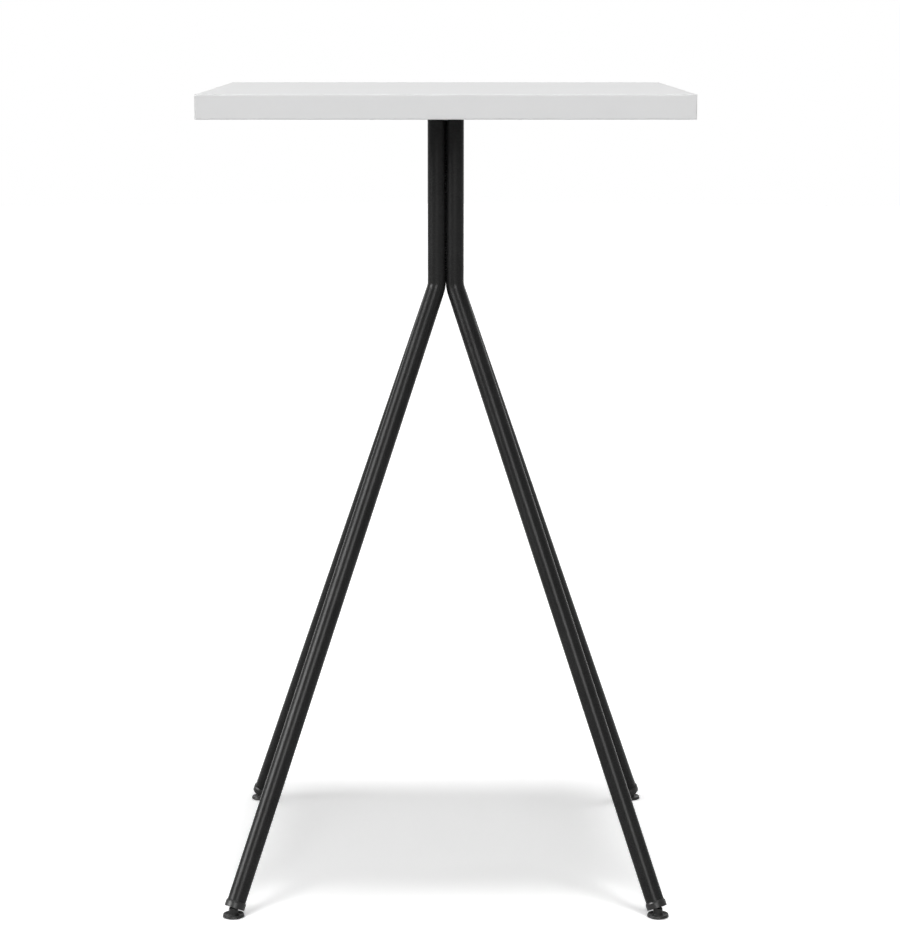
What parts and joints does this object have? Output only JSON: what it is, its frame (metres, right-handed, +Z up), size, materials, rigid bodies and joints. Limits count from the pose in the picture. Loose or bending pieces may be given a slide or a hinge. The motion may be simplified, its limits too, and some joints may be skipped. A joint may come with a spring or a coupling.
{
  "type": "standing meeting table",
  "caption": "Standing-height table with a square laminated top on a bundled column of bent tubes that splay to levelling, tilting feet.",
  "frame": {"origin": "on the floor under the middle of the square top", "axes": "+Z up, X along the front edge of the top, -Y towards the front"},
  "size_m": [0.64, 0.64, 1.1],
  "materials": {
    "white_laminate": "white high-pressure laminate, fine satin texture",
    "white_edge_band": "white edge banding, satin",
    "backing_sheet": "plain balancing laminate, matt",
    "particleboard": "raw particleboard",
    "black_powder_coat": "black powder coat, fine satin texture",
    "black_nylon": "moulded black nylon, satin",
    "zinc_steel": "bright zinc plated steel",
    "sole_rubber": "black rubber sole, matt"
  },
  "bodies": {
    "table": {"tabletop_core": "particleboard", "top_laminate": "white_laminate", "bottom_backer": "backing_sheet", "threaded_inserts": "zinc_steel", "mounting_plate": "black_powder_coat", "plate_screws": "zinc_steel", "plate_washers": "zinc_steel", "plate_weld": "black_powder_coat", "column_welds": "black_powder_coat", "edge_band_front": "white_edge_band", "edge_band_back": "white_edge_band", "edge_band_left": "white_edge_band", "edge_band_right": "white_edge_band", "leg_rear_right": "black_powder_coat", "end_cap_rear_right": "black_nylon", "insert_nut_rear_right": "zinc_steel", "leg_rear_left": "black_powder_coat", "end_cap_rear_left": "black_nylon", "insert_nut_rear_left": "zinc_steel", "leg_front_left": "black_powder_coat", "end_cap_front_left": "black_nylon", "insert_nut_front_left": "zinc_steel", "leg_front_right": "black_powder_coat", "end_cap_front_right": "black_nylon", "insert_nut_front_right": "zinc_steel"},
    "stem_rear_right": {"glide_stem_rear_right": "zinc_steel"},
    "pad_rear_right": {"glide_pad_rear_right": "black_nylon", "pad_sole_rear_right": "sole_rubber"},
    "stem_rear_left": {"glide_stem_rear_left": "zinc_steel"},
    "pad_rear_left": {"glide_pad_rear_left": "black_nylon", "pad_sole_rear_left": "sole_rubber"},
    "stem_front_left": {"glide_stem_front_left": "zinc_steel"},
    "pad_front_left": {"glide_pad_front_left": "black_nylon", "pad_sole_front_left": "sole_rubber"},
    "stem_front_right": {"glide_stem_front_right": "zinc_steel"},
    "pad_front_right": {"glide_pad_front_right": "black_nylon", "pad_sole_front_right": "sole_rubber"}
  },
  "joints": [
    {"name": "level_rear_right", "type": "slide", "parent": "table", "child": "stem_rear_right", "axis": [0.3027, 0.3027, -0.9037], "range_m": [0, 0.015]},
    {"name": "tilt_rear_right", "type": "hinge", "parent": "stem_rear_right", "child": "pad_rear_right", "pos_m": [0.286, 0.286, 0.00875], "axis": [-0.7071, 0.7071, 0], "range_deg": [-54.3, 3.6]},
    {"name": "level_rear_left", "type": "slide", "parent": "table", "child": "stem_rear_left", "axis": [-0.3027, 0.3027, -0.9037], "range_m": [0, 0.015]},
    {"name": "tilt_rear_left", "type": "hinge", "parent": "stem_rear_left", "child": "pad_rear_left", "pos_m": [-0.286, 0.286, 0.00875], "axis": [-0.7071, -0.7071, 0], "range_deg": [-54.3, 3.6]},
    {"name": "level_front_left", "type": "slide", "parent": "table", "child": "stem_front_left", "axis": [-0.3027, -0.3027, -0.9037], "range_m": [0, 0.015]},
    {"name": "tilt_front_left", "type": "hinge", "parent": "stem_front_left", "child": "pad_front_left", "pos_m": [-0.286, -0.286, 0.00875], "axis": [0.7071, -0.7071, 0], "range_deg": [-54.3, 3.6]},
    {"name": "level_front_right", "type": "slide", "parent": "table", "child": "stem_front_right", "axis": [0.3027, -0.3027, -0.9037], "range_m": [0, 0.015]},
    {"name": "tilt_front_right", "type": "hinge", "parent": "stem_front_right", "child": "pad_front_right", "pos_m": [0.286, -0.286, 0.00875], "axis": [0.7071, 0.7071, 0], "range_deg": [-54.3, 3.6]}
  ]
}
